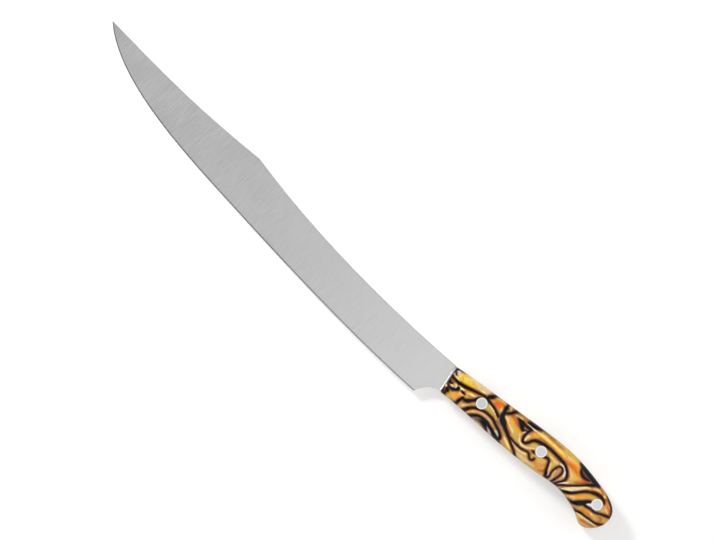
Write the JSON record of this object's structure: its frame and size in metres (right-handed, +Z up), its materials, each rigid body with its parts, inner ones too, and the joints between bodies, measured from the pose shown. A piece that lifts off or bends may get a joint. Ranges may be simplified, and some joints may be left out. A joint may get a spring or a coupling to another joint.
{
  "type": "carving knife",
  "caption": "Long carving knife with a clip-point blade, a full tang and marbled resin handle scales held by flush round rivets",
  "frame": {"origin": "centre of the footprint of the knife lying on its right side, at the height of the right scale's flat face", "axes": "+X from the tip to the butt along the line between them, +Y towards the back of the blade, +Z up out of the left side"},
  "size_m": [0.4302, 0.0444, 0.02],
  "materials": {
    "blade_steel": "satin, brushed across the blade, with a bright cutting bevel",
    "marbled_resin": "polished cast resin, gold and orange with dark brown veins",
    "rivet_steel": "ground flush, with a bright broken rim"
  },
  "bodies": {
    "root": {"blade_and_tang": "blade_steel", "left_scale": "marbled_resin", "right_scale": "marbled_resin", "front_rivet_tube": "rivet_steel", "front_rivet_pin": "rivet_steel", "middle_rivet_tube": "rivet_steel", "middle_rivet_pin": "rivet_steel", "rear_rivet_tube": "rivet_steel", "rear_rivet_pin": "rivet_steel"}
  },
  "joints": []
}
